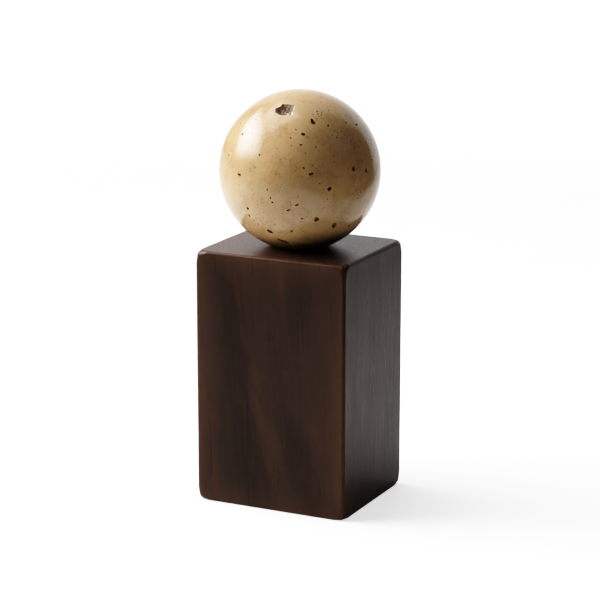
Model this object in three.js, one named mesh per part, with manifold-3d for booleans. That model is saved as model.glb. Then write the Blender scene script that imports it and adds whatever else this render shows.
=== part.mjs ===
import * as THREE from 'three';
import { mergeVertices } from 'three/addons/utils/BufferGeometryUtils.js';
import Module from 'manifold-3d';

// A decorative travertine ball resting in a dished seat on top of an upright wood block.
// Units are millimetres, +Z is up, and the broad front face of the block looks along -Y.
// The origin is the centre of the block's underside.

// Driving dimensions
const BALL_RADIUS = 50;
const BLOCK_WIDTH = 101.8;
const BLOCK_DEPTH = 86.3;
const BLOCK_HEIGHT = 161;
const EDGE_RADIUS = 2;
const CORNER_RADIUS = 3.8;
const CORNER_REACH = 7.5;
const SEAT_DEPTH = 2.8;
const SEAT_GAP = 0.3;

const BALL_CENTRE_Z = BLOCK_HEIGHT + BALL_RADIUS - SEAT_DEPTH;

// Facets
const BALL_SIDES = 64;
const ROUNDING_SIDES = 20;
const PIT_DETAIL = 1;
const CAVITY_DETAIL = 4;

// Natural pits that show on the front of the ball. Each is an oval: around is its bearing
// from the front towards the right and up its height above the equator, both in degrees.
// long and wide are the size of its mouth, turn is the slope of its long way in degrees,
// and taper is how much it narrows towards the far end of that way.
const FRONT_PITS = [
  { around: 39, up: 46, long: 4.5, wide: 2.6, turn: 105, taper: 0.4 },
  { around: 29, up: 36, long: 2.6, wide: 2.2, turn: 145, taper: 0 },
  { around: 88, up: 39, long: 2.4, wide: 1.4, turn: 0, taper: 0 },
  { around: 67, up: 9, long: 3.6, wide: 2.3, turn: 95, taper: 0.1 },
  { around: 34, up: 8, long: 3, wide: 1.7, turn: 25, taper: 0.2 },
  { around: 80, up: 6, long: 3, wide: 2.4, turn: 110, taper: 0 },
  { around: -21, up: 4, long: 3, wide: 1.8, turn: 165, taper: 0.2 },
  { around: 47, up: -3, long: 2.7, wide: 2.5, turn: 0, taper: 0 },
  { around: 24, up: -14, long: 2.5, wide: 1.4, turn: 20, taper: 0 },
  { around: 18, up: -18, long: 2.7, wide: 1.3, turn: 30, taper: 0.2 },
  { around: -16, up: -20, long: 2.4, wide: 2, turn: 10, taper: 0 },
  { around: -17, up: -26, long: 2, wide: 1.3, turn: 120, taper: 0 },
  { around: 39, up: -26, long: 3.4, wide: 2.8, turn: 120, taper: 0.3 },
  { around: 56, up: -33, long: 5.2, wide: 3, turn: 100, taper: 0.1 },
  { around: 74, up: -36, long: 3, wide: 1.4, turn: 110, taper: 0 },
  { around: 19, up: -37, long: 2, wide: 1.7, turn: 90, taper: 0 },
  { around: -2, up: -39, long: 4, wide: 3.2, turn: 140, taper: 0.2 },
  { around: 7, up: -50, long: 8, wide: 3.2, turn: 138, taper: 0.4 },
];

// The one large cavity, high on the front. Its outline is a circle with waves round it:
// how many waves, how far they swell as a share of the radius, and where one crests.
const CAVITY = { around: 7, up: 57, across: 11.2, depth: 4 };
const CAVITY_WAVES = [
  { count: 2, swell: 0.06, crest: 10 },
  { count: 3, swell: 0.04, crest: 65 },
  { count: 4, swell: 0.04, crest: 35 },
  { count: 5, swell: 0.07, crest: 40 },
];

// Pits on the hidden side, spread evenly from the equator both ways.
const BACK_PITS = 20;
const BACK_PIT_SIZE = 3;
const GOLDEN_ANGLE = 180 * (3 - Math.sqrt(5));

// An ordinary pit is as deep as a share of its width, and its outline has 2 to 5 waves.
const PIT_DEPTH_TO_WIDTH = 0.8;
const PIT_SWELL = 0.2;
const PIT_WAVES = [2, 3, 4, 5];

// A repeatable number from 0 to 1 that belongs to a pair of whole numbers.
function scatter(index, salt) {
  const value = Math.sin(index * 12.9898 + salt * 78.233) * 43758.5453;
  return value - Math.floor(value);
}

const wasm = await Module();
wasm.setup();

// A manifold solid from a closed three.js geometry.
function toSolid(geometry) {
  const bare = geometry.clone();
  bare.deleteAttribute('normal');
  bare.deleteAttribute('uv');
  const merged = mergeVertices(bare, 1e-4);
  return new wasm.Manifold(new wasm.Mesh({
    numProp: 3,
    vertProperties: new Float32Array(merged.attributes.position.array),
    triVerts: new Uint32Array(merged.index.array),
  }));
}

// A three.js geometry from a manifold solid.
function toGeometry(solid) {
  const mesh = solid.getMesh();
  const geometry = new THREE.BufferGeometry();
  geometry.setAttribute('position', new THREE.BufferAttribute(mesh.vertProperties, 3));
  geometry.setIndex(new THREE.BufferAttribute(mesh.triVerts, 1));
  geometry.computeVertexNormals();
  return geometry;
}

// The placing of something that sits on the ball's skin: x runs around the ball, y runs up
// it, both turned by the slope, and z points out of it.
function placeOnBall(around, up, turn) {
  const bearing = new THREE.Matrix4().makeRotationZ(THREE.MathUtils.degToRad(around));
  const stand = new THREE.Matrix4().makeRotationX(THREE.MathUtils.degToRad(90 - up));
  const slope = new THREE.Matrix4().makeRotationZ(THREE.MathUtils.degToRad(turn));
  const lift = new THREE.Matrix4().makeTranslation(0, 0, BALL_RADIUS);
  return bearing.multiply(stand).multiply(lift).multiply(slope);
}

// The waves round an ordinary pit, which differ from pit to pit.
function pitWaves(index) {
  return PIT_WAVES.map((count) => ({
    count,
    swell: PIT_SWELL / count,
    crest: 360 * scatter(index, count),
  }));
}

// How far out an outline with waves lies at an angle, as a share of its plain oval.
function waveShare(angle, waves) {
  return waves.reduce((share, { count, swell, crest }) => (
    share + swell * Math.cos(count * (angle - THREE.MathUtils.degToRad(crest)))
  ), 1);
}

// A lump that cuts a pit: its widest section lies on the ball's skin and has the outline.
function makePitCutter({ around, up, long, wide, turn, taper, depth, waves, detail }) {
  const ball = new THREE.IcosahedronGeometry(1, detail).deleteAttribute('normal').deleteAttribute('uv');
  const lump = mergeVertices(ball);
  const points = lump.attributes.position;
  for (let i = 0; i < points.count; i += 1) {
    const share = waveShare(Math.atan2(points.getY(i), points.getX(i)), waves);
    const x = points.getX(i) * share;
    const y = points.getY(i) * share * (1 - taper * x);
    points.setXYZ(i, x * long / 2, y * wide / 2, points.getZ(i) * depth);
  }
  lump.applyMatrix4(placeOnBall(around, up, turn));
  return toSolid(lump);
}

function makePit(pit, index) {
  return makePitCutter({
    ...pit,
    depth: pit.wide * PIT_DEPTH_TO_WIDTH,
    waves: pitWaves(index),
    detail: PIT_DETAIL,
  });
}

function makeCavity() {
  return makePitCutter({
    around: CAVITY.around,
    up: CAVITY.up,
    long: CAVITY.across,
    wide: CAVITY.across,
    turn: 0,
    taper: 0,
    depth: CAVITY.depth,
    waves: CAVITY_WAVES,
    detail: CAVITY_DETAIL,
  });
}

// The hidden side: a spiral of pits that keeps off the front and off the seat.
function backPits() {
  const pits = [];
  for (let i = 0; i < BACK_PITS; i += 1) {
    const height = 0.8 - 1.5 * (i + 0.5) / BACK_PITS;
    pits.push({
      around: 125 + (i * GOLDEN_ANGLE) % 180,
      up: THREE.MathUtils.radToDeg(Math.asin(height)),
      long: BACK_PIT_SIZE * (0.7 + scatter(i, 51)),
      wide: BACK_PIT_SIZE * (0.5 + 0.4 * scatter(i, 52)),
      turn: 180 * scatter(i, 53),
      taper: 0.4 * scatter(i, 54),
    });
  }
  return pits;
}

function makeBall() {
  const round = new THREE.SphereGeometry(BALL_RADIUS, BALL_SIDES, BALL_SIDES / 2).rotateX(Math.PI / 2);
  const pits = [...FRONT_PITS, ...backPits()].map(makePit);
  const cutters = [makeCavity(), ...pits];
  const pitted = cutters.reduce((solid, cutter) => solid.subtract(cutter), toSolid(round));
  const material = new THREE.MeshStandardMaterial({ color: 0xb8996f, roughness: 0.2, metalness: 0 });
  const ball = new THREE.Mesh(toGeometry(pitted), material);
  ball.name = 'travertine_sphere';
  ball.position.z = BALL_CENTRE_Z;
  return ball;
}

// A small ball inside the box, at given distances from its three sides at one corner.
function ballInCorner([right, back, top], radius, [inX, inY, inZ]) {
  return wasm.Manifold.sphere(radius, ROUNDING_SIDES).translate(
    right * (BLOCK_WIDTH / 2 - inX),
    back * (BLOCK_DEPTH / 2 - inY),
    BLOCK_HEIGHT / 2 + top * (BLOCK_HEIGHT / 2 - inZ),
  );
}

// The block before the seat is cut. Its edges are rounded lightly, and each rounding grows
// over the reach before a corner until it meets the larger rounding of the corner itself.
function makeSlab() {
  const balls = [];
  for (const right of [-1, 1]) {
    for (const back of [-1, 1]) {
      for (const top of [-1, 1]) {
        const corner = [right, back, top];
        balls.push(ballInCorner(corner, CORNER_RADIUS, [CORNER_RADIUS, CORNER_RADIUS, CORNER_RADIUS]));
        balls.push(ballInCorner(corner, EDGE_RADIUS, [CORNER_REACH, EDGE_RADIUS, EDGE_RADIUS]));
        balls.push(ballInCorner(corner, EDGE_RADIUS, [EDGE_RADIUS, CORNER_REACH, EDGE_RADIUS]));
        balls.push(ballInCorner(corner, EDGE_RADIUS, [EDGE_RADIUS, EDGE_RADIUS, CORNER_REACH]));
      }
    }
  }
  return wasm.Manifold.hull(balls);
}

function makeBlock() {
  const seat = new THREE.SphereGeometry(BALL_RADIUS + SEAT_GAP, BALL_SIDES, BALL_SIDES / 2);
  seat.rotateX(Math.PI / 2).translate(0, 0, BALL_CENTRE_Z);
  const material = new THREE.MeshStandardMaterial({ color: 0x33241e, roughness: 0.35, metalness: 0 });
  const block = new THREE.Mesh(toGeometry(makeSlab().subtract(toSolid(seat))), material);
  block.name = 'wood_block';
  return block;
}

const group = new THREE.Group();
group.add(makeBlock(), makeBall());

export default group;
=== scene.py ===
"""A polished travertine ball with open pits, resting in the dished top of a dark wood block."""
import math

import bmesh
import bpy
import numpy as np
from mathutils import Matrix, Vector, noise


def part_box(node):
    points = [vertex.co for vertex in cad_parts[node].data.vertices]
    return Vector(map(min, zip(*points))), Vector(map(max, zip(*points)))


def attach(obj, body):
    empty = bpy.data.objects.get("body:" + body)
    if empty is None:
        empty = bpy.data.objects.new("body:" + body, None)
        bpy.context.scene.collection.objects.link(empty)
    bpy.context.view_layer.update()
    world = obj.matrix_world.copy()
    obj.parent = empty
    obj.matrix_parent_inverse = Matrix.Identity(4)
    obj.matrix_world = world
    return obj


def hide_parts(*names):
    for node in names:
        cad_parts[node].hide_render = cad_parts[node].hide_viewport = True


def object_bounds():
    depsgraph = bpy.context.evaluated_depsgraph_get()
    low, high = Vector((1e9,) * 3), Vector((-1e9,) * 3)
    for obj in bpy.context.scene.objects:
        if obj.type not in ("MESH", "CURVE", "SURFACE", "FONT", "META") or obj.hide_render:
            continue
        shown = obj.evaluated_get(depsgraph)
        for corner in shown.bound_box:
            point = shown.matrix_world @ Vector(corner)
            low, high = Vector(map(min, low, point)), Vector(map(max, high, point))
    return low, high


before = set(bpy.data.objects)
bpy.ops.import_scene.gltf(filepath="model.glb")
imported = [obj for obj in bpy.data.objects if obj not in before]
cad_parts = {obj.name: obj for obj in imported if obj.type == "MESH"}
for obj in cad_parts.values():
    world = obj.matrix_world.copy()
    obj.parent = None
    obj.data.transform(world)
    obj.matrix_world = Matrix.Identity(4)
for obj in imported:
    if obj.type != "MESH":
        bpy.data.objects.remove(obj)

CAD_BOX = [list(corner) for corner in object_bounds()]

# ---------------------------------------------------------------- sizes, in metres
MM = 0.001
MM_PER_METRE = 1000
BALL_LOW, BALL_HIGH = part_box("travertine_sphere")
BALL_CENTRE = (BALL_LOW + BALL_HIGH) / 2
BALL_RADIUS = (BALL_HIGH.z - BALL_LOW.z) / 2
BLOCK_LOW, BLOCK_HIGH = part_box("wood_block")
BLOCK_CENTRE = (BLOCK_LOW + BLOCK_HIGH) / 2

# The seat and the rounding are the solid's. Each rounding grows over the reach before a corner.
SEAT_GAP = 0.3 * MM
EDGE_RADIUS = 2 * MM
CORNER_RADIUS = 3.8 * MM
CORNER_REACH = 7.5 * MM
CORNER_STEPS = 12

# The block's skin: its grid, how far down the top face counts, how close to the seat's rim a
# point is moved onto it, and how fast the wear fades away from an edge.
BLOCK_GRID = (0.8 * MM, 0.8 * MM, 2.6 * MM)
TOP_BAND = 0.2 * MM
RIM_SNAP = 0.45 * MM
WEAR_WIDTH = 9 * MM

# The waviness and the raised fibre of sanded wood, in millimetres, and how long both run upright.
WAVE_LENGTH = 22
WAVE_HEIGHT = 0.07
WAVE_STRETCH = (1, 1, 0.35)
FIBRE_WIDTH = 2.2
FIBRE_HEIGHT = 0.007
FIBRE_STRETCH = (1, 1, 0.05)

# Both start at the foot, over a height, and are weaker on the top face.
FOOT_FADE = 6 * MM
TOP_SKIN = 0.1 * MM
TOP_SHARE = 0.3

# Edges that bend by more than this many degrees stay sharp.
BALL_CREASE = 32
BLOCK_CREASE = 15

# ---------------------------------------------------------------- camera
# The camera circles the block's axis and looks at a point on it, at a share of the whole height.
CAMERA_AZIMUTH = 26.2
CAMERA_ELEVATION = 13.9
CAMERA_DISTANCE = 1.478
CAMERA_LENS_MM = 141.7
SENSOR_MM = 36
LOOK_AT_HEIGHT = 0.486

# ---------------------------------------------------------------- the ball's pits
# The same ovals as in the solid: around is the bearing from the front towards the right and up
# the height above the equator, in degrees; long and wide are in millimetres; turn is the slope
# of the long way; taper is how much the oval narrows towards the far end. Another program worked
# out around, up and the first sizes and slopes from places picked in the photo. The sizes and
# slopes were then changed, and taper was set one by one.
FRONT_PITS = [
    dict(around=39, up=46, long=4.5, wide=2.6, turn=105, taper=0.4),
    dict(around=29, up=36, long=2.6, wide=2.2, turn=145, taper=0),
    dict(around=88, up=39, long=2.4, wide=1.4, turn=0, taper=0),
    dict(around=67, up=9, long=3.6, wide=2.3, turn=95, taper=0.1),
    dict(around=34, up=8, long=3, wide=1.7, turn=25, taper=0.2),
    dict(around=80, up=6, long=3, wide=2.4, turn=110, taper=0),
    dict(around=-21, up=4, long=3, wide=1.8, turn=165, taper=0.2),
    dict(around=47, up=-3, long=2.7, wide=2.5, turn=0, taper=0),
    dict(around=24, up=-14, long=2.5, wide=1.4, turn=20, taper=0),
    dict(around=18, up=-18, long=2.7, wide=1.3, turn=30, taper=0.2),
    dict(around=-16, up=-20, long=2.4, wide=2, turn=10, taper=0),
    dict(around=-17, up=-26, long=2, wide=1.3, turn=120, taper=0),
    dict(around=39, up=-26, long=3.4, wide=2.8, turn=120, taper=0.3),
    dict(around=56, up=-33, long=5.2, wide=3, turn=100, taper=0.1),
    dict(around=74, up=-36, long=3, wide=1.4, turn=110, taper=0),
    dict(around=19, up=-37, long=2, wide=1.7, turn=90, taper=0),
    dict(around=-2, up=-39, long=4, wide=3.2, turn=140, taper=0.2),
    dict(around=7, up=-50, long=8, wide=3.2, turn=138, taper=0.4),
]
PIT_DEPTH_TO_WIDTH = 0.8
PIT_SWELL = 0.2
PIT_WAVES = (2, 3, 4, 5)

# How far a pit's ragged edge can reach for its half length, how rough its bowl is, and how far
# out its points stay on the ball's skin.
PIT_REACH = 1.25
PIT_ROUGHNESS = 0.25
RIM_SHARE = 0.995

# The one large cavity. Its outline is a circle with waves round it: how many, how far they swell
# as a share of the radius, and where one crests. Another program fitted the place, the size and
# the waves to points picked along its rim in the photo. The depth and the nicks are given.
CAVITY = dict(around=7, up=57, across=11.2, depth=4)
CAVITY_WAVES = [(2, 0.06, 10), (3, 0.04, 65), (4, 0.04, 35), (5, 0.07, 40)]
CAVITY_NICKS = [(7, 0.04, 20), (9, 0.035, 5), (13, 0.03, 10)]

# The crystals on its floor: how high they stand, and how far below the ball's skin they end.
CRYSTAL_HEIGHT = 2.2 * MM
CRYSTAL_TOP_DEPTH = 0.25 * MM

# A pale halo surrounds each pit: how strong it is, how fast it fades, in millimetres, and where
# it ends.
HALO_STRENGTH = 0.6
HALO_WIDTH = 0.45
HALO_REACH = 1.5 * MM

BACK_PITS = 20
BACK_PIT_SIZE = 3
GOLDEN_ANGLE = 180 * (3 - math.sqrt(5))

# Tiny pits: how many, the least width and how much wider the widest are, in millimetres, how
# much longer than wide, and how deep for their width.
SPECKS = 380
SPECK_SEED = 7
SPECK_LEAST = 0.55
SPECK_SPREAD = 0.75
SPECK_STRETCH = 0.8
SPECK_DEPTH_TO_WIDTH = 0.7
SPECK_TAPER = 0.2

# They gather where a slow noise over the ball is high, with loose borders.
CLUSTER_SCALE = 2.6
CLUSTER_SHIFT = Vector((4.0, 1.0, 7.0))
CLUSTER_LOOSENESS = 0.35
CLUSTER_LEVEL = 0.2

# The ball's mesh is finest along the rims, and its edges grow with the distance from them.
FINEST_EDGE = 0.16 * MM
COARSEST_RIM_EDGE = 0.24 * MM
COARSEST_EDGE = 3 * MM
REFINED_AROUND = 4 * MM
EDGE_GROWTH = 0.4
EDGE_SLACK = 1.4
BALL_SUBDIVISIONS = 6
HALVINGS = 5


def scatter(index, salt):
    """A repeatable number from 0 to 1 that belongs to a pair of whole numbers."""
    value = math.sin(index * 12.9898 + salt * 78.233) * 43758.5453
    return value - math.floor(value)


def pit_waves(index):
    return [(count, PIT_SWELL / count, 360 * scatter(index, count)) for count in PIT_WAVES]


def back_pits():
    """The hidden side: a spiral of pits that keeps off the front and off the seat."""
    pits = []
    for i in range(BACK_PITS):
        height = 0.8 - 1.5 * (i + 0.5) / BACK_PITS
        pits.append(dict(
            around=125 + (i * GOLDEN_ANGLE) % 180,
            up=math.degrees(math.asin(height)),
            long=BACK_PIT_SIZE * (0.7 + scatter(i, 51)),
            wide=BACK_PIT_SIZE * (0.5 + 0.4 * scatter(i, 52)),
            turn=180 * scatter(i, 53),
            taper=0.4 * scatter(i, 54)))
    return pits


class Pit:
    """A ragged oval hollow in the ball's skin, in the ball's own frame."""

    def __init__(self, around, up, long, wide, turn, taper, depth, waves):
        spin = Matrix.Rotation(math.radians(around), 3, "Z")
        stand = Matrix.Rotation(math.radians(90 - up), 3, "X")
        slope = Matrix.Rotation(math.radians(turn), 3, "Z")
        axes = spin @ stand @ slope
        self.along = np.array(axes.col[0])
        self.aside = np.array(axes.col[1])
        self.out = np.array(axes.col[2])
        self.half_long = long * MM / 2
        self.half_wide = wide * MM / 2
        self.taper = taper
        self.depth = depth * MM
        self.waves = waves
        self.reach = self.half_long * PIT_REACH
        self.edge = min(max(self.half_wide / 3, FINEST_EDGE), COARSEST_RIM_EDGE)

    def share(self, points):
        """How far out each point lies: 0 at the pit's middle and 1 on its rim."""
        x = points @ self.along / self.half_long
        y = points @ self.aside / self.half_wide
        y = y / (1 - self.taper * np.clip(x, -1.5, 1.5))
        angle = np.arctan2(y, x)
        rim = np.ones(len(points))
        for count, swell, crest in self.waves:
            rim += swell * np.cos(count * (angle - math.radians(crest)))
        return np.hypot(x, y) / rim

    def near(self, points, margin):
        """Which points lie within the pit's reach and a margin."""
        cosine = math.cos((self.reach + margin) / BALL_RADIUS)
        return np.nonzero(points @ self.out > cosine * BALL_RADIUS)[0]


def main_pits():
    pits = []
    for index, oval in enumerate(FRONT_PITS + back_pits()):
        pits.append(Pit(depth=oval["wide"] * PIT_DEPTH_TO_WIDTH, waves=pit_waves(index), **oval))
    return pits


def cavity_pit():
    return Pit(
        around=CAVITY["around"], up=CAVITY["up"],
        long=CAVITY["across"], wide=CAVITY["across"], turn=0, taper=0,
        depth=CAVITY["depth"], waves=CAVITY_WAVES + CAVITY_NICKS)


def keeps_clear(outward, reach, taken):
    """Whether a pit there stays off all the others."""
    cosines = np.clip(np.array([out for out, _ in taken]) @ outward, -1, 1)
    needed = np.array([far for _, far in taken]) + reach
    return not (np.arccos(cosines) * BALL_RADIUS < needed).any()


def speck_pits(others):
    """Tiny pits, in loose clusters, that keep clear of the larger ones and of each other."""
    random = np.random.default_rng(SPECK_SEED)
    taken = [(pit.out, pit.reach) for pit in others]
    specks = []
    while len(specks) < SPECKS:
        outward = random.normal(size=3)
        outward /= np.linalg.norm(outward)
        crowd = noise.noise(Vector(outward * CLUSTER_SCALE) + CLUSTER_SHIFT)
        size = SPECK_LEAST + SPECK_SPREAD * random.random() ** 2.5
        stretch = 1 + SPECK_STRETCH * random.random() ** 2
        turn = 180 * random.random()
        if crowd < CLUSTER_LOOSENESS * random.random() - CLUSTER_LEVEL:
            continue
        if not keeps_clear(outward, size * MM, taken):
            continue
        taken.append((outward, size * MM))
        specks.append(Pit(
            around=math.degrees(math.atan2(outward[0], -outward[1])),
            up=math.degrees(math.asin(outward[2])),
            long=size * stretch, wide=size, turn=turn, taper=SPECK_TAPER * random.random(),
            depth=SPECK_DEPTH_TO_WIDTH * size, waves=pit_waves(len(specks) + 100)))
    return specks


# ---------------------------------------------------------------- mesh helpers
def mesh_points(mesh):
    points = np.empty(len(mesh.vertices) * 3)
    mesh.vertices.foreach_get("co", points)
    return points.reshape(-1, 3)


def set_points(mesh, points):
    mesh.vertices.foreach_set("co", points.astype(np.float32).ravel())
    mesh.update()


def add_attribute(mesh, name, values):
    attribute = mesh.attributes.new(name, "FLOAT", "POINT")
    attribute.data.foreach_set("value", values.astype(np.float32))


def shade_smooth(mesh, crease):
    """Smooth shading, apart from edges that bend by more than the crease angle."""
    mesh.polygons.foreach_set("use_smooth", np.ones(len(mesh.polygons), bool))
    mesh.set_sharp_from_angle(angle=math.radians(crease))


def new_object(name, mesh, material):
    made = bpy.data.objects.new(name, mesh)
    bpy.context.scene.collection.objects.link(made)
    mesh.materials.append(material)
    return made


# ---------------------------------------------------------------- the ball
def longest_wanted(middles, pits):
    """The longest that an edge may be at each place: short beside pits, longer away from them."""
    wanted = np.full(len(middles), COARSEST_EDGE)
    for pit in pits:
        near = pit.near(middles, REFINED_AROUND)
        away = np.linalg.norm(middles[near] - pit.out * BALL_RADIUS, axis=1) - pit.reach
        wanted[near] = np.minimum(wanted[near], pit.edge + EDGE_GROWTH * np.maximum(away, 0))
    return EDGE_SLACK * wanted


def cut_faces(faces, cuts):
    """Each face as it is, or as the two, three or four that its halved sides make of it."""
    count = (cuts >= 0).sum(axis=1)
    first_cut = np.argmax(cuts >= 0, axis=1)
    after_whole = (np.argmin(cuts >= 0, axis=1) + 1) % 3
    start = np.select([count == 1, count == 2], [first_cut, after_whole], 0)
    order = (start[:, None] + np.arange(3)) % 3
    a, b, c = np.take_along_axis(faces, order, 1).T
    p, q, r = np.take_along_axis(cuts, order, 1).T
    cut_up = [(count == 0, [(a, b, c)]),
              (count == 1, [(a, p, c), (p, b, c)]),
              (count == 2, [(p, b, q), (a, p, q), (a, q, c)]),
              (count == 3, [(a, p, r), (p, b, q), (r, q, c), (p, q, r)])]
    return np.concatenate([np.stack(corners, axis=1)[which]
                           for which, pieces in cut_up for corners in pieces])


def halve_long_edges(points, faces, pits):
    """One pass that halves each edge which is too long, and cuts the faces beside it to suit."""
    sides = np.sort(faces[:, [[0, 1], [1, 2], [2, 0]]].reshape(-1, 2), axis=1)
    edges, edge_of_side = np.unique(sides, axis=0, return_inverse=True)
    ends = points[edges]
    middles = ends.mean(axis=1)
    lengths = np.linalg.norm(ends[:, 0] - ends[:, 1], axis=1)
    halved = lengths > longest_wanted(middles, pits)
    new_point = np.full(len(edges), -1)
    new_point[halved] = len(points) + np.arange(halved.sum())
    faces = cut_faces(faces, new_point[edge_of_side.reshape(-1)].reshape(-1, 3))
    points = np.concatenate([points, middles[halved]])
    points *= (BALL_RADIUS / np.linalg.norm(points, axis=1))[:, None]
    return points, faces


def snap_to_rims(points, pits):
    """Slides the points beside each rim onto it, so that every pit has a clean edge."""
    for pit in pits:
        near = pit.near(points, pit.edge)
        share = pit.share(points[near])
        flat_x = points[near] @ pit.along
        flat_y = points[near] @ pit.aside
        gap = np.abs(share - 1) / np.maximum(share, 0.1) * np.hypot(flat_x, flat_y)
        close = near[gap < 0.5 * pit.edge]
        ratio = 1 / share[gap < 0.5 * pit.edge]
        moved = (points[close]
                 + np.outer(points[close] @ pit.along * (ratio - 1), pit.along)
                 + np.outer(points[close] @ pit.aside * (ratio - 1), pit.aside))
        points[close] = moved * (BALL_RADIUS / np.linalg.norm(moved, axis=1))[:, None]
    return points


def rough(points, size, seed):
    """Fine noise from -1 to 1 at each point, with lumps of about the size."""
    shift = Vector((seed, 2.0 * seed, 3.0 * seed))
    return np.array([noise.noise(Vector(p) / size + shift) for p in points])


def bowl_depth(points, share, pit, number):
    """How deep a pit's rough bowl is at points inside it."""
    return pit.depth * np.sqrt(1 - share ** 3) * (1 + PIT_ROUGHNESS * rough(points, 0.6 * MM, number))


def grow_crystals(bowl, points, share):
    """The cavity's depth with crystals standing up from its floor, lower towards the rim."""
    large = np.abs(rough(points, 0.9 * MM, 50))
    small = np.abs(rough(points, 0.45 * MM, 60))
    bowl = bowl - CRYSTAL_HEIGHT * (large + 0.6 * small) * np.clip(3 * (1 - share), 0, 1)
    return np.maximum(bowl, CRYSTAL_TOP_DEPTH)


def carve(points, pits, cavity):
    """Presses the pits in. Returns the new points, how deep each lies, and how close a rim is."""
    depth = np.zeros(len(points))
    halo = np.zeros(len(points))
    for number, pit in enumerate(pits):
        near = pit.near(points, HALO_REACH)
        share = pit.share(points[near])
        hollow = near[share < RIM_SHARE]
        share_inside = share[share < RIM_SHARE]
        bowl = bowl_depth(points[hollow], share_inside, pit, number)
        if pit is cavity:
            bowl = grow_crystals(bowl, points[hollow], share_inside)
        depth[hollow] = np.maximum(depth[hollow], bowl)
        beyond = (share - 1) * pit.half_wide / MM
        halo[near] = np.maximum(halo[near], np.exp(-np.maximum(beyond, 0) / HALO_WIDTH))
    return points - points / BALL_RADIUS * depth[:, None], depth, halo


def crystal_cover(points, cavity):
    """How far pale crystals cover each point of the cavity: least at its upper left."""
    inside = np.nonzero((cavity.share(points) < 1) & (points @ cavity.out > 0))[0]
    lean = (0.8 * points[inside] @ cavity.along - 0.6 * points[inside] @ cavity.aside) / MM
    patchy = 0.7 * rough(points[inside], 0.8 * MM, 70)
    cover = np.zeros(len(points))
    cover[inside] = np.clip(0.7 + 0.15 * lean + patchy, 0.5, 1)
    return cover


def make_ball(material):
    cavity = cavity_pit()
    large = [cavity] + main_pits()
    pits = large + speck_pits(large)
    work = bmesh.new()
    bmesh.ops.create_icosphere(work, subdivisions=BALL_SUBDIVISIONS, radius=BALL_RADIUS)
    points = np.array([vert.co for vert in work.verts])
    faces = np.array([[vert.index for vert in face.verts] for face in work.faces])
    work.free()
    for _ in range(HALVINGS):
        points, faces = halve_long_edges(points, faces, pits)
    points, depth, halo = carve(snap_to_rims(points, pits), pits, cavity)
    mesh = bpy.data.meshes.new("travertine_ball")
    mesh.from_pydata(points.tolist(), [], faces.tolist())
    add_attribute(mesh, "pit_depth", np.clip(depth / MM, 0, 1))
    add_attribute(mesh, "pit_halo", halo)
    add_attribute(mesh, "calcite", crystal_cover(points, cavity))
    shade_smooth(mesh, BALL_CREASE)
    ball = new_object("travertine_ball", mesh, material)
    ball.location = BALL_CENTRE
    return ball


# ---------------------------------------------------------------- the block
def steps_along(low, high, spacing):
    """Places along one side: close together at its ends, and evenly between."""
    turn = np.linspace(0, CORNER_RADIUS, CORNER_STEPS, endpoint=False)
    middle = np.linspace(low + CORNER_RADIUS, high - CORNER_RADIUS, round((high - low) / spacing))
    return np.concatenate([low + turn, middle, high - turn[::-1]])


def round_off(points):
    """Rounds the edges of a sharp box, and its corners more; returns points and normals."""
    low, high = np.array(BLOCK_LOW), np.array(BLOCK_HIGH)
    to_corner = np.minimum(points - low, high - points).max(axis=1)
    share = np.clip((to_corner - CORNER_RADIUS) / (CORNER_REACH - CORNER_RADIUS), 0, 1)
    radius = (CORNER_RADIUS + (EDGE_RADIUS - CORNER_RADIUS) * share)[:, None]
    core = np.clip(points, low + radius, high - radius)
    outward = points - core
    outward /= np.linalg.norm(outward, axis=1)[:, None]
    return core + outward * radius, outward


def make_box_grid(spacings):
    """A sharp box as one closed skin of fine grids."""
    places = [steps_along(BLOCK_LOW[i], BLOCK_HIGH[i], spacings[i]) for i in range(3)]
    work = bmesh.new()
    found = {}

    def corner(index):
        if index not in found:
            found[index] = work.verts.new([places[axis][index[axis]] for axis in range(3)])
        return found[index]

    for axis in range(3):
        first, second = [(1, 2), (2, 0), (0, 1)][axis]
        for side in (0, len(places[axis]) - 1):
            for i in range(len(places[first]) - 1):
                for j in range(len(places[second]) - 1):
                    ring = [(i, j), (i + 1, j), (i + 1, j + 1), (i, j + 1)]
                    corners = []
                    for a, b in (ring if side else reversed(ring)):
                        index = [0, 0, 0]
                        index[axis], index[first], index[second] = side, a, b
                        corners.append(corner(tuple(index)))
                    work.faces.new(corners)
    mesh = bpy.data.meshes.new("wood_block_surface")
    work.to_mesh(mesh)
    work.free()
    return mesh


def sink_seat(points):
    """Presses the ball's dish into the top and slides nearby points onto its rim."""
    dish = BALL_RADIUS + SEAT_GAP
    rim = math.sqrt(dish ** 2 - (BALL_CENTRE.z - BLOCK_HIGH.z) ** 2)
    top = points[:, 2] > BLOCK_HIGH.z - TOP_BAND
    away = np.hypot(points[:, 0] - BALL_CENTRE.x, points[:, 1] - BALL_CENTRE.y)
    on_rim = top & (np.abs(away - rim) < RIM_SNAP)
    for axis in (0, 1):
        centre = BALL_CENTRE[axis]
        points[on_rim, axis] = centre + (points[on_rim, axis] - centre) * rim / away[on_rim]
    away[on_rim] = rim
    inside = top & (away < rim)
    points[inside, 2] = BALL_CENTRE.z - np.sqrt(dish ** 2 - away[inside] ** 2)
    return points


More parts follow.
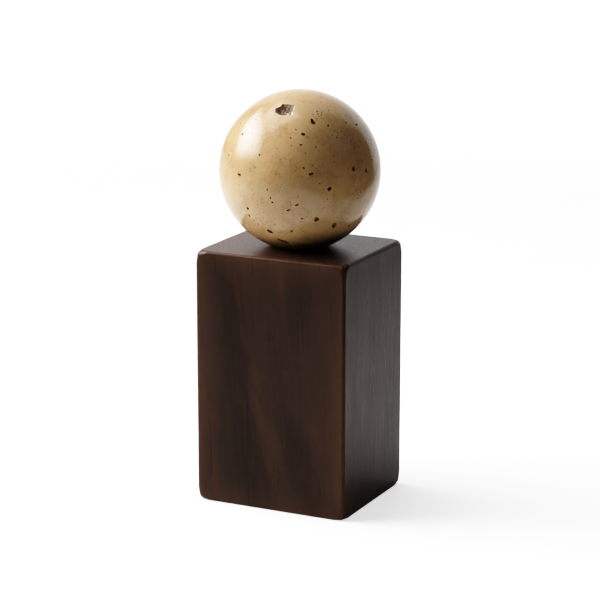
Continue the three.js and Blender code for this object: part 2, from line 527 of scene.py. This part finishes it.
def hand_finish(points, outward):
    """The slight waviness of hand-sanded faces, none of it below the underside."""
    wave = rough(points * WAVE_STRETCH, WAVE_LENGTH * MM, 3) * WAVE_HEIGHT * MM
    fibre = rough(points * FIBRE_STRETCH, FIBRE_WIDTH * MM, 5) * FIBRE_HEIGHT * MM
    up = np.clip((points[:, 2] - BLOCK_LOW.z) / FOOT_FADE, 0, 1)
    flat_top = np.where(points[:, 2] > BLOCK_HIGH.z - TOP_SKIN, TOP_SHARE, 1)
    return points + outward * ((wave + fibre) * up * flat_top)[:, None]


def edge_wear(points):
    """1 on the rounded edges, fading to 0 towards the middle of each face."""
    low, high = np.array(BLOCK_LOW), np.array(BLOCK_HIGH)
    inward = np.sort(np.minimum(points - low, high - points), axis=1)[:, 1]
    return np.exp(-np.maximum(inward - EDGE_RADIUS, 0) / WEAR_WIDTH)


def make_block(material):
    mesh = make_box_grid(BLOCK_GRID)
    points, outward = round_off(mesh_points(mesh))
    add_attribute(mesh, "wear", edge_wear(points))
    set_points(mesh, sink_seat(hand_finish(points, outward)))
    shade_smooth(mesh, BLOCK_CREASE)
    return new_object("dark_wood_block", mesh, material)


# ---------------------------------------------------------------- materials
class Nodes:
    """A tree of shader nodes. Most calls add a node and give back its output."""

    def __init__(self, tree):
        self.tree = tree

    def feed(self, socket, value):
        """Links a node's output to the socket, or sets the socket to a plain value."""
        if isinstance(value, bpy.types.NodeSocket):
            self.tree.links.new(value, socket)
        else:
            socket.default_value = value

    def add(self, kind, inputs, **settings):
        node = self.tree.nodes.new(kind)
        for name, value in settings.items():
            setattr(node, name, value)
        for key, value in inputs.items():
            self.feed(node.inputs[key], value)
        return node

    def math(self, operation, first, second=0.0):
        return self.add("ShaderNodeMath", {0: first, 1: second}, operation=operation).outputs[0]

    def fade(self, value, start, end, low=0.0, high=1.0):
        """Goes smoothly from low to high as the value goes from start to end."""
        inputs = {"Value": value, "From Min": start, "From Max": end, "To Min": low, "To Max": high}
        node = self.add("ShaderNodeMapRange", inputs, interpolation_type="SMOOTHSTEP")
        return node.outputs["Result"]


class Paint(Nodes):
    """One material's nodes."""

    def __init__(self, name):
        self.material = bpy.data.materials.new(name)
        self.material.use_nodes = True
        super().__init__(self.material.node_tree)
        self.shader = self.tree.nodes["Principled BSDF"]

    def place(self, stretch=(1, 1, 1), turn=(0, 0, 0)):
        """The piece's own coordinates in millimetres, squeezed and turned."""
        coordinates = self.add("ShaderNodeTexCoord", {}).outputs["Object"]
        angles = [math.radians(angle) for angle in turn]
        turned = self.add("ShaderNodeMapping", {0: coordinates, "Rotation": angles})
        size = [MM_PER_METRE * share for share in stretch]
        return self.add("ShaderNodeMapping", {0: turned.outputs[0], "Scale": size}).outputs[0]

    def noise(self, place, size, detail=3.0, roughness=0.5, warp=0.0):
        """Cloudy noise about 0.5, with lumps of the size in millimetres."""
        inputs = {"Vector": place, "Scale": 1 / size, "Detail": detail,
                  "Roughness": roughness, "Distortion": warp}
        return self.add("ShaderNodeTexNoise", inputs).outputs["Fac"]

    def cells(self, place, size):
        """The distance to the nearest of many scattered points, about the size apart."""
        inputs = {"Vector": place, "Scale": 1 / size}
        return self.add("ShaderNodeTexVoronoi", inputs, feature="F1").outputs["Distance"]

    def mix(self, share, first, second):
        node = self.add("ShaderNodeMix", {}, data_type="RGBA")
        sockets = (node.inputs[0], node.inputs[6], node.inputs[7])
        for socket, value in zip(sockets, (share, first, second)):
            self.feed(socket, (*value, 1) if isinstance(value, tuple) else value)
        return node.outputs[2]

    def attribute(self, name):
        return self.add("ShaderNodeAttribute", {}, attribute_name=name).outputs["Fac"]

    def bump(self, height, distance, strength=1.0, under=None):
        inputs = {"Height": height, "Distance": distance, "Strength": strength}
        if under is not None:
            inputs["Normal"] = under
        return self.add("ShaderNodeBump", inputs).outputs["Normal"]

    def finish(self, **sockets):
        """Feeds the shader. A socket's name has _ for each space."""
        for key, value in sockets.items():
            self.feed(self.shader.inputs[key.replace("_", " ")], value)
        return self.material


STONE_TAN = (0.345, 0.225, 0.115)
STONE_HONEY = (0.39, 0.25, 0.125)
STONE_CREAM = (0.43, 0.31, 0.18)
STONE_RUST = (0.40, 0.22, 0.09)
STONE_BROWN = (0.24, 0.14, 0.06)
STONE_DARK = (0.12, 0.06, 0.025)
STONE_IOR = 1.345
PIT_DARK = (0.16, 0.055, 0.020)
PIT_RUST = (0.34, 0.16, 0.07)
PIT_DULLNESS = (0.85, 0.85, 0.85)
CRYSTAL_GREY = (0.24, 0.19, 0.14)
CRYSTAL_WHITE = (0.72, 0.66, 0.58)
BLACK = (0, 0, 0)
WHITE = (1, 1, 1)

# How high the bumps of the two materials stand, in metres.
GRIT_BUMP = 0.00006
POLISH_BUMP = 0.00003
STREAK_BUMP = 0.000016
PORE_BUMP = 0.000012


def stone_face(paint, place, mottle):
    """The polished face's colour: clouds and faint bands of tan, with brown mottling and flecks."""
    bedded = paint.place(stretch=(1, 1, 0.3), turn=(8, -14, 0))
    cloud = paint.noise(place, 30, detail=3, warp=0.4)
    bands = paint.noise(bedded, 6, detail=5, roughness=0.6, warp=0.5)
    drift = paint.noise(place, 12, detail=5, roughness=0.6)
    colour = paint.mix(paint.fade(cloud, 0.38, 0.62), STONE_TAN, STONE_HONEY)
    colour = paint.mix(paint.fade(bands, 0.4, 0.7, 0.0, 0.24), colour, STONE_CREAM)
    colour = paint.mix(paint.fade(bands, 0.5, 0.3, 0.0, 0.25), colour, STONE_RUST)
    colour = paint.mix(paint.fade(drift, 0.45, 0.72, 0.0, 0.5), colour, STONE_BROWN)
    spots = paint.math("MULTIPLY", paint.fade(mottle, 0.5, 0.7), paint.fade(drift, 0.42, 0.6, 0.25, 0.75))
    colour = paint.mix(spots, colour, STONE_BROWN)
    flecks = paint.math("MULTIPLY", paint.fade(paint.cells(place, 3.2), 0.17, 0.1),
                        paint.fade(mottle, 0.46, 0.54, 0.0, 0.9))
    return paint.mix(flecks, colour, STONE_DARK)


def pit_walls(paint, grit):
    """The colour inside the pits: rusty, with pale crystals in the cavity."""
    hollow = paint.mix(grit, PIT_DARK, PIT_RUST)
    crystal = paint.mix(paint.fade(grit, 0.35, 0.6), CRYSTAL_GREY, CRYSTAL_WHITE)
    return paint.mix(paint.attribute("calcite"), hollow, crystal)


def travertine():
    """Polished stone with dull pits, and a pale halo round each of them."""
    paint = Paint("polished_travertine")
    place = paint.place()
    mottle = paint.noise(place, 1.9, detail=4, roughness=0.65)
    grit = paint.noise(place, 0.5, detail=4, roughness=0.7)
    pale = paint.math("MULTIPLY", paint.attribute("pit_halo"), HALO_STRENGTH)
    deep = paint.fade(paint.attribute("pit_depth"), 0.02, 0.25)
    colour = paint.mix(pale, stone_face(paint, place, mottle), STONE_CREAM)
    colour = paint.mix(deep, colour, pit_walls(paint, grit))
    gloss = paint.fade(mottle, 0.35, 0.75, 0.12, 0.2)
    roughness = paint.mix(deep, paint.mix(gloss, BLACK, WHITE), PIT_DULLNESS)
    grain = paint.bump(grit, GRIT_BUMP, strength=deep)
    polish = paint.bump(paint.noise(place, 6, detail=2), POLISH_BUMP, under=grain)
    return paint.finish(Base_Color=colour, Roughness=roughness, Normal=polish, IOR=STONE_IOR)


WOOD_DARK = (0.0150, 0.0076, 0.0050)
WOOD_BROWN = (0.0275, 0.0142, 0.0094)
WOOD_FLAME = (0.060, 0.024, 0.0105)
WOOD_PORE = (0.006, 0.0035, 0.0025)
# The pale tone of streaks and worn edges, also used for the painted sheen on the right side and the top.
WOOD_WORN_AND_SHEEN = (0.052, 0.027, 0.0165)
WOOD_IOR = 1.225


def dark_wood():
    """Near-black wood with redder flames, paler streaks and worn edges, and a painted sheen that makes its
    right side and its top paler.
    """
    paint = Paint("dark_stained_wood")
    upright = paint.place(stretch=(1, 1, 0.22), turn=(4, 9, 0))
    broad = paint.noise(upright, 34, detail=3, roughness=0.5, warp=0.3)
    flame = paint.noise(upright, 15, detail=3, roughness=0.5, warp=0.4)
    lick = paint.noise(paint.place(stretch=(1, 1, 0.18), turn=(0, 12, 0)), 6, detail=3)
    streak = paint.noise(paint.place(stretch=(1, 1, 0.03), turn=(0, 2, 0)), 1.4, detail=5, roughness=0.6)
    pores = paint.noise(paint.place(stretch=(1, 1, 0.05)), 0.45, detail=2)
    colour = paint.mix(paint.fade(broad, 0.38, 0.62), WOOD_DARK, WOOD_BROWN)
    blaze = paint.math("MULTIPLY", paint.fade(flame, 0.48, 0.74), paint.fade(lick, 0.34, 0.66, 0.2, 0.65))
    colour = paint.mix(blaze, colour, WOOD_FLAME)
    colour = paint.mix(paint.fade(streak, 0.4, 0.72, 0.0, 0.14), colour, WOOD_WORN_AND_SHEEN)
    colour = paint.mix(paint.fade(pores, 0.42, 0.3, 0.0, 0.35), colour, WOOD_PORE)
    facing = paint.add("ShaderNodeNewGeometry", {}).outputs["Normal"]
    faces = paint.add("ShaderNodeSeparateXYZ", {0: facing}).outputs
    # Painted sheen: the right side and the top are made paler by the way they face, standing in for the
    # light they reflect.
    painted_sheen = paint.math("MAXIMUM", paint.fade(faces["X"], 0.5, 0.9, 0.0, 0.38),
                         paint.fade(faces["Z"], 0.5, 0.9, 0.0, 0.6))
    rubbed = paint.math("MULTIPLY", paint.attribute("wear"), paint.fade(broad, 0.3, 0.6, 0.45, 1.0))
    colour = paint.mix(paint.math("MAXIMUM", painted_sheen, rubbed), colour, WOOD_WORN_AND_SHEEN)
    roughness = paint.fade(streak, 0.3, 0.7, 0.27, 0.38)
    grain = paint.bump(streak, STREAK_BUMP)
    pitted = paint.bump(pores, PORE_BUMP, under=grain)
    return paint.finish(Base_Color=colour, Roughness=roughness, Normal=pitted, IOR=WOOD_IOR)


def plain_floor():
    """A white table. Seen directly it is overexposed, and more so the farther it is."""
    paint = Paint("pale_table")
    place = paint.add("ShaderNodeNewGeometry", {}).outputs["Position"]
    away = paint.add("ShaderNodeVectorMath", {0: place}, operation="LENGTH").outputs["Value"]
    seen = paint.add("ShaderNodeLightPath", {}).outputs["Is Camera Ray"]
    glow = paint.fade(away, FLOOR_GLOW_NEAR, FLOOR_GLOW_FAR, FLOOR_GLOW, FLOOR_GLOW_MOST)
    return paint.finish(
        Base_Color=(0.8, 0.8, 0.8, 1), Roughness=0.6,
        Emission_Color=(1, 1, 1, 1), Emission_Strength=paint.math("MULTIPLY", glow, seen))


# ---------------------------------------------------------------- studio
# The table's edges run along the block's sides. It ends these distances in front of the block's
# middle and to its right, and reaches far behind it and to its left. The camera sees it glow,
# and more so beyond the near distance, up to the most at the far one.
TABLE_FRONT = 0.75
TABLE_RIGHT = 0.39
TABLE_FAR = 3.0
FLOOR_GLOW = 0.36
FLOOR_GLOW_MOST = 1.3
FLOOR_GLOW_NEAR = 0.9
FLOOR_GLOW_FAR = 2.2

# The soft box hangs to the left. Each corner is a bearing from the front and a height above
# the horizon, in degrees, as seen from the ball. Its glow falls off from its middle.
SOFTBOX_CORNERS = [(-80, 6), (-34, 16), (-52, 52), (-126, 36)]
SOFTBOX_DISTANCE = 1.1
SOFTBOX_RADIANCE = 15.5
SOFTBOX_STEPS = 16
SOFTBOX_FALL = 0.9

# Broad light from the room: a middle bearing, half the width, a lowest and highest height, all in
# degrees, and a strength. Between these the room is nearly dark.
ROOM_LIGHTS = [
    (190, 35, -8, 25, 0.7),
    (190, 40, 25, 90, 0.5),
    (-76, 24, 25, 50, 1.6),
    (-88, 45, 50, 90, 3.8),
    (0, 45, 55, 90, 0.3),
    (95, 38, 25, 60, 0.1),
]
ROOM_EDGE = 5
ROOM_DARK = 0.01
ABOVE_ALL = 2.0
BACKDROP = 3.0

# How the camera answers light: the light that gives pure white, the shape of the answer, and
# how many points draw its curve and how closely they crowd at the dark end.
FILM_WHITE = 1.2
FILM_TOE = 0.03
FILM_SPAN = 0.335
FILM_CONTRAST = 1.1
FILM_STEPS = 10
FILM_CROWDING = 1.8


def direction(bearing, height):
    """A unit vector, from a bearing from the front and a height above the horizon in degrees."""
    bearing = math.radians(bearing)
    height = math.radians(height)
    return Vector((math.sin(bearing) * math.cos(height),
                   -math.cos(bearing) * math.cos(height),
                   math.sin(height)))


def make_camera():
    back = direction(CAMERA_AZIMUTH, CAMERA_ELEVATION)
    whole_height = CAD_BOX[1][2] - CAD_BOX[0][2]
    target = Vector((BLOCK_CENTRE.x, BLOCK_CENTRE.y, CAD_BOX[0][2] + LOOK_AT_HEIGHT * whole_height))
    data = bpy.data.cameras.new("camera")
    data.lens = CAMERA_LENS_MM
    data.sensor_width = SENSOR_MM
    camera = bpy.data.objects.new("camera", data)
    bpy.context.scene.collection.objects.link(camera)
    camera.location = target + back * CAMERA_DISTANCE
    camera.rotation_euler = (-back).to_track_quat("-Z", "Y").to_euler()
    bpy.context.scene.camera = camera


def make_table():
    level = BLOCK_LOW.z
    corners = [
        (-TABLE_FAR, -TABLE_FRONT, level),
        (TABLE_RIGHT, -TABLE_FRONT, level),
        (TABLE_RIGHT, TABLE_FAR, level),
        (-TABLE_FAR, TABLE_FAR, level),
    ]
    mesh = bpy.data.meshes.new("table")
    mesh.from_pydata(corners, [], [(0, 1, 2, 3)])
    new_object("table", mesh, plain_floor())


def softbox_sheet():
    """The panel as a grid between its four corners, with a glow at each point."""
    corners = [BALL_CENTRE + direction(*corner) * SOFTBOX_DISTANCE for corner in SOFTBOX_CORNERS]
    points = []
    glows = []
    for i in range(SOFTBOX_STEPS + 1):
        for j in range(SOFTBOX_STEPS + 1):
            across, up = i / SOFTBOX_STEPS, j / SOFTBOX_STEPS
            low = corners[0].lerp(corners[1], across)
            high = corners[3].lerp(corners[2], across)
            points.append(tuple(low.lerp(high, up)))
            glows.append((math.sin(math.pi * across) * math.sin(math.pi * up)) ** SOFTBOX_FALL)
    row = SOFTBOX_STEPS + 1
    faces = [(i * row + j, i * row + j + 1, (i + 1) * row + j + 1, (i + 1) * row + j)
             for i in range(SOFTBOX_STEPS) for j in range(SOFTBOX_STEPS)]
    mesh = bpy.data.meshes.new("softbox")
    mesh.from_pydata(points, [], faces)
    add_attribute(mesh, "glow", np.array(glows))
    return mesh


def make_softbox():
    """A glowing panel, brightest in its middle, that only reflections and surfaces see."""
    paint = Paint("softbox_glow")
    strength = paint.math("MULTIPLY", paint.attribute("glow"), SOFTBOX_RADIANCE)
    material = paint.finish(
        Base_Color=(0, 0, 0, 1), Emission_Color=(1, 1, 1, 1), Emission_Strength=strength)
    panel = new_object("softbox", softbox_sheet(), material)
    panel.visible_camera = False


class Room(Nodes):
    """The world's nodes."""

    def __init__(self):
        world = bpy.data.worlds.new("room")
        bpy.context.scene.world = world
        world.use_nodes = True
        super().__init__(world.node_tree)
        self.tree.nodes.clear()
        ray = self.add("ShaderNodeTexCoord", {}).outputs["Generated"]
        self.x, self.y, self.z = self.add("ShaderNodeSeparateXYZ", {0: ray}).outputs

    def turned(self, first, second):
        """The level part of the ray along a direction, from its shares of x and y."""
        return self.math("ADD", self.math("MULTIPLY", self.x, first), self.math("MULTIPLY", self.y, second))

    def patch(self, bearing, half_width, low, high, strength):
        """One soft-edged stretch of the room. One that reaches 90 degrees has no upper edge."""
        middle = math.radians(bearing)
        ahead = self.turned(math.sin(middle), -math.cos(middle))
        aside = self.turned(math.cos(middle), math.sin(middle))
        off = self.math("ABSOLUTE", self.math("ARCTAN2", aside, ahead))
        inner = math.radians(half_width - ROOM_EDGE)
        outer = math.radians(half_width + ROOM_EDGE)
        wide = self.fade(off, inner, outer, strength, 0.0)
        foot = math.sin(math.radians(low - ROOM_EDGE))
        full = math.sin(math.radians(low + ROOM_EDGE))
        above = self.fade(self.z, foot, full)
        top = ABOVE_ALL if high == 90 else math.sin(math.radians(high))
        edge = math.radians(ROOM_EDGE)
        below = self.fade(self.z, top - edge, top + edge, 1.0, 0.0)
        return self.math("MULTIPLY", wide, self.math("MULTIPLY", above, below))

    def background(self, strength):
        inputs = {"Color": (1, 1, 1, 1), "Strength": strength}
        return self.add("ShaderNodeBackground", inputs).outputs[0]

    def finish(self, level):
        """The camera itself sees plain white. Everything else sees the room."""
        seen = self.add("ShaderNodeLightPath", {}).outputs["Is Camera Ray"]
        inputs = {0: seen, 1: self.background(level), 2: self.background(BACKDROP)}
        pick = self.add("ShaderNodeMixShader", inputs)
        self.add("ShaderNodeOutputWorld", {0: pick.outputs[0]})


def make_room():
    room = Room()
    level = ROOM_DARK
    for light in ROOM_LIGHTS:
        level = room.math("ADD", room.patch(*light), level)
    room.finish(level)


def film_response(light):
    """The picture's light for a light in the scene: a short dark toe, then a long soft shoulder."""
    above_toe = light ** 2 / (light + FILM_TOE)
    return 1 - math.exp(-(above_toe / FILM_SPAN) ** FILM_CONTRAST)


def set_film_response():
    view = bpy.context.scene.view_settings
    view.view_transform = "Standard"
    view.use_curve_mapping = True
    view.curve_mapping.white_level = (FILM_WHITE, FILM_WHITE, FILM_WHITE)
    points = view.curve_mapping.curves[3].points
    for step in range(1, FILM_STEPS):
        share = (step / FILM_STEPS) ** FILM_CROWDING
        points.new(share, film_response(FILM_WHITE * share) / film_response(FILM_WHITE))
    view.curve_mapping.update()


# ---------------------------------------------------------------- the scene
set_film_response()
make_camera()
make_table()
make_softbox()
make_room()

ball = make_ball(travertine())
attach(ball, "root")
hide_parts("travertine_sphere")

block = make_block(dark_wood())
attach(block, "root")
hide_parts("wood_block")
